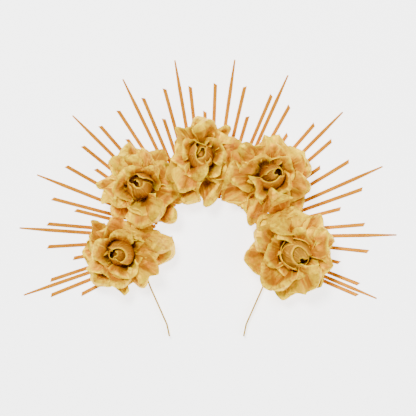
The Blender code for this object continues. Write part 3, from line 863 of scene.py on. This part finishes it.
def ramp(material, source, stops):
    """Add a colour ramp with stops of a position and a colour."""
    node = add_node(material, "ShaderNodeValToRGB")
    while len(node.color_ramp.elements) < len(stops):
        node.color_ramp.elements.new(0.5)
    for element, (position, colour) in zip(node.color_ramp.elements, stops):
        element.position = position
        element.color = (*colour, 1.0)
    join(material, source, node.inputs["Fac"])
    return node.outputs["Color"]


def blend(material, factor, first, second, mode="MIX"):
    """Mix two colours, each a socket or plain numbers, by a factor that is a socket or a number."""
    node = add_node(material, "ShaderNodeMix", data_type="RGBA", blend_type=mode)
    sockets = [item for item in node.inputs if item.enabled]
    for socket, value in zip(sockets, (factor, first, second)):
        if isinstance(value, bpy.types.NodeSocket):
            join(material, value, socket)
        elif isinstance(value, tuple):
            socket.default_value = (*value, 1.0)
        else:
            socket.default_value = value
    return [item for item in node.outputs if item.enabled][0]


def scaled(material, source, low, high):
    """Map a factor's range from low to high onto 0 to 1."""
    node = add_node(material, "ShaderNodeMapRange", clamp=True)
    node.inputs["From Min"].default_value = low
    node.inputs["From Max"].default_value = high
    join(material, source, node.inputs["Value"])
    return node.outputs["Result"]


def attribute(material, name):
    """Give the factor of one of the mesh's named values."""
    return add_node(material, "ShaderNodeAttribute", attribute_name=name).outputs["Fac"]


def combined(material, operation, first, second):
    """Combine two factors, the second of which may be a plain number."""
    node = add_node(material, "ShaderNodeMath", operation=operation)
    join(material, first, node.inputs[0])
    if isinstance(second, bpy.types.NodeSocket):
        join(material, second, node.inputs[1])
    else:
        node.inputs[1].default_value = second
    return node.outputs[0]


def times(material, first, second):
    """Multiply two factors, the second of which may be a plain number."""
    return combined(material, "MULTIPLY", first, second)


def add_bump(material, source, strength, distance):
    """Bump the shader's normal by a factor."""
    node = add_node(material, "ShaderNodeBump")
    node.inputs["Strength"].default_value = strength
    node.inputs["Distance"].default_value = distance
    join(material, source, node.inputs["Height"])
    join(material, node.outputs["Normal"], shader_of(material).inputs["Normal"])


def cloth_material(name, stops, pale, blotch, warm, painted_shade, painted_highlight):
    """Make painted satin, mottled, darker and redder at the roots as painted shade, with pale rims
    as painted highlights, and with painted shade and highlights on the creases.
    """
    material = new_material(name, CLOTH_ROUGHNESS, CLOTH_METALLIC)
    shader = shader_of(material)
    shader.inputs["Specular IOR Level"].default_value = SPECULAR_LEVEL
    place = add_node(material, "ShaderNodeTexCoord").outputs["Object"]
    along, rim, fold, side, tint = (attribute(material, key)
                                    for key in ("along", "rim", "fold", "side", "tint"))
    lengthwise = add_node(material, "ShaderNodeCombineXYZ")
    join(material, times(material, side, VEINS_ACROSS), lengthwise.inputs["X"])
    join(material, times(material, along, VEINS_ALONG), lengthwise.inputs["Y"])
    vein = noise(material, lengthwise.outputs["Vector"], *VEIN_NOISE)
    fleck = scaled(material, noise(material, place, *FLECK_NOISE), 0.25, 0.60)
    # Coats from the lowest up: where each one lies, how strong it is at most, and its colour
    coats = (
        (scaled(material, tint, 0.0, 1.0), 0.70, pale),
        (scaled(material, tint, 0.0, -1.0), 0.80, warm),
        # Painted shade in the valleys of the creases
        (scaled(material, fold, 0.52, 0.10), 0.75, painted_shade),
        # Painted highlight on the crests of the creases
        (scaled(material, fold, 0.55, 0.95), 0.70, pale),
        (scaled(material, noise(material, place, *BLOTCH_NOISE), 0.50, 0.66), 0.55, blotch),
        (scaled(material, noise(material, place, *PATCH_NOISE), 0.52, 0.70), 0.50, warm),
        (scaled(material, vein, 0.56, 0.74), 0.55, warm),
        (scaled(material, vein, 0.46, 0.28), 0.60, pale),
        # Painted highlight along the rims, broken up by flecks, and on the highest crests
        (times(material, rim, fleck), 1.0, painted_highlight),
        (scaled(material, fold, 0.84, 1.0), 0.40, painted_highlight),
    )
    # Painted shade: the ramp darkens and reddens from the tips down to the roots, deep in the rose
    colour = ramp(material, along, stops)
    for factor, strength, coat in coats:
        colour = blend(material, times(material, factor, strength), colour, coat)
    join(material, colour, shader.inputs["Base Color"])
    grain = times(material, noise(material, place, *GRAIN_NOISE), GRAIN_SHARE)
    add_bump(material, combined(material, "ADD", vein, grain), CLOTH_BUMP, CLOTH_BUMP_DEPTH)
    return material


def plain_material(name, roughness, metallic, first, second, scale, bump):
    """Make a plastic or metal that drifts between two colours, with a faint grain."""
    material = new_material(name, roughness, metallic)
    shader_of(material).inputs["Specular IOR Level"].default_value = SPECULAR_LEVEL
    place = add_node(material, "ShaderNodeTexCoord").outputs["Object"]
    drift = noise(material, place, scale, PLAIN_GRAIN_DETAIL, DRIFT_DISTORTION)
    drift = scaled(material, drift, *DRIFT_RANGE)
    colour = blend(material, drift, first, second)
    join(material, colour, shader_of(material).inputs["Base Color"])
    grain = noise(material, place, PLAIN_GRAIN_FINENESS * scale, PLAIN_GRAIN_DETAIL)
    add_bump(material, grain, bump, PLAIN_BUMP_DEPTH)
    return material


# Both ramps darken towards the roots as painted shade
petal_cloth = cloth_material(
    "petal_satin",
    ((0.0, (0.14, 0.03, 0.0)), (0.50, (0.50, 0.18, 0.0)), (0.80, (0.80, 0.34, 0.0)),
     (0.97, (0.90, 0.41, 0.0))),
    pale=(1.0, 0.64, 0.0), blotch=(0.96, 0.46, 0.0), warm=(0.52, 0.17, 0.0),
    painted_shade=(0.38, 0.11, 0.0), painted_highlight=(1.0, 0.72, 0.0),
)
bud_cloth = cloth_material(
    "bud_satin",
    ((0.0, (0.03, 0.005, 0.0)), (0.35, (0.22, 0.055, 0.0)), (0.6, (0.42, 0.14, 0.0)),
     (0.85, (0.50, 0.185, 0.0))),
    pale=(0.90, 0.48, 0.02), blotch=(0.54, 0.21, 0.0), warm=(0.32, 0.10, 0.0),
    painted_shade=(0.20, 0.05, 0.0), painted_highlight=(0.95, 0.56, 0.0),
)
strap_plastic = plain_material("strap_plastic", 0.50, 0.4, (0.60, 0.235, 0.0),
                               (0.54, 0.19, 0.0), 90.0, 0.2)
band_metal = plain_material("band_metal", 0.45, 0.35, (0.52, 0.33, 0.01),
                            (0.40, 0.23, 0.0), 120.0, 0.15)

for rose_number in range(len(ROSE_TABLE)):
    build_petals(rose_number, petal_cloth)
    build_bud(rose_number, bud_cloth)
for spike_position in range(SPIKES):
    build_spike(spike_position, strap_plastic)
build_band(band_metal)

# Floor
floor_mesh = bpy.data.meshes.new("floor")
reach = FLOOR_SIZE / 2
floor_corners = [(-reach, -reach, 0), (reach, -reach, 0), (reach, reach, 0), (-reach, reach, 0)]
floor_mesh.from_pydata(floor_corners, [], [(0, 1, 2, 3)])
floor = bpy.data.objects.new("floor", floor_mesh)
bpy.context.scene.collection.objects.link(floor)
floor_white = new_material("floor_white", FLOOR_ROUGHNESS, 0.0)
shader_of(floor_white).inputs["Base Color"].default_value = FLOOR_COLOUR
shader_of(floor_white).inputs["Emission Color"].default_value = GLOW_COLOUR
shader_of(floor_white).inputs["Emission Strength"].default_value = FLOOR_GLOW
floor_mesh.materials.append(floor_white)

# Light
world = bpy.data.worlds.new("studio")
world.use_nodes = True
world.node_tree.nodes["Background"].inputs["Color"].default_value = WORLD_COLOUR
world.node_tree.nodes["Background"].inputs["Strength"].default_value = WORLD_STRENGTH
bpy.context.scene.world = world


def add_light(name, place, size, power):
    """Add a soft square light aimed at the middle."""
    light = bpy.data.lights.new(name, "AREA")
    light.size = size
    light.energy = power
    holder = bpy.data.objects.new(name, light)
    holder.location = place
    holder.rotation_euler = (-Vector(place)).to_track_quat("-Z", "Y").to_euler()
    bpy.context.scene.collection.objects.link(holder)


add_light("key", KEY_PLACE, KEY_SIZE, KEY_POWER)
add_light("fill", FILL_PLACE, FILL_SIZE, FILL_POWER)

# Camera
camera_data = bpy.data.cameras.new("camera")
camera_data.sensor_width = MILLIMETRES * SENSOR_WIDTH
camera_data.lens = camera_data.sensor_width * CAMERA_HEIGHT / (PHOTO_PIXELS * METRES_PER_PIXEL)
camera = bpy.data.objects.new("camera", camera_data)
camera.location = (CAMERA_X, CAMERA_Y, CAMERA_HEIGHT)
bpy.context.scene.collection.objects.link(camera)
bpy.context.scene.camera = camera
